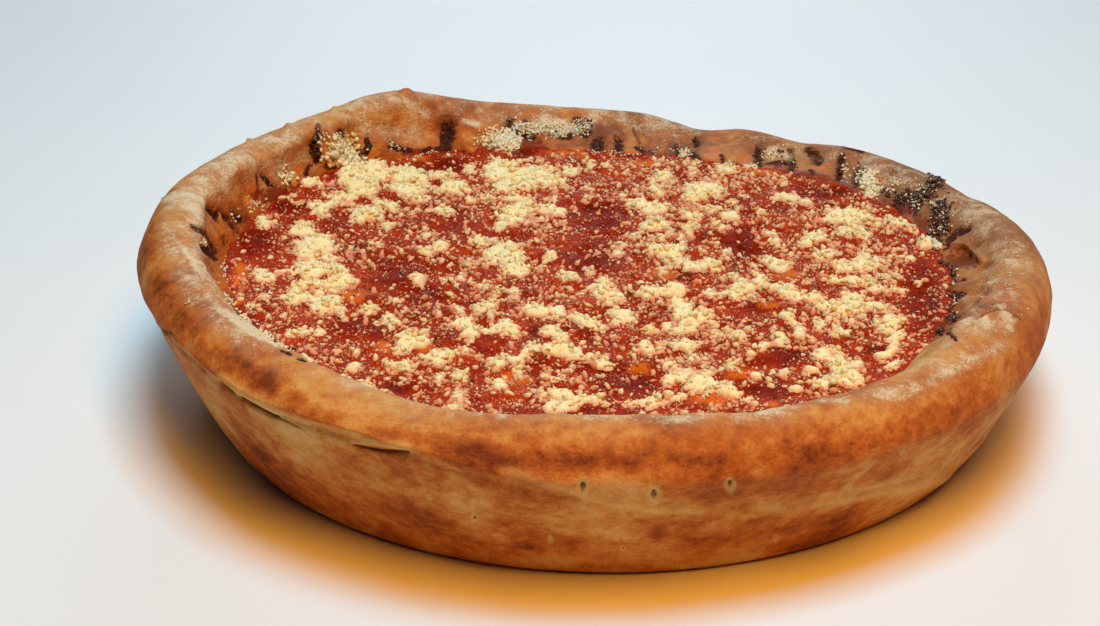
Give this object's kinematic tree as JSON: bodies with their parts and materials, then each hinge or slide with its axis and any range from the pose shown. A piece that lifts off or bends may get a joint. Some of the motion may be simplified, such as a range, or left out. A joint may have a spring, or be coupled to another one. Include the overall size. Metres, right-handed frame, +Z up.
{
  "type": "deep dish pizza",
  "caption": "Whole uncut deep dish pizza: a deep browned bread bowl with a rolled, uneven rim, filled almost to the top with tomato sauce and strewn with drifts of grated hard cheese.",
  "frame": {"origin": "middle of the outline seen from above, on the surface the crust stands on", "axes": "+Z up out of the filling, -Y towards the side whose wall shows most, where a fold in the rolled edge slants down from the left"},
  "size_m": [0.299, 0.302, 0.063],
  "materials": {
    "crust": "dry baked bread, golden to brown, with pale dusty flour and a few burnt spots",
    "filling": "wet crushed tomato sauce",
    "cheese": "dry grated hard cheese, pale cream"
  },
  "bodies": {
    "root": {"bread_crust": "crust", "tomato_filling": "filling"}
  },
  "joints": []
}
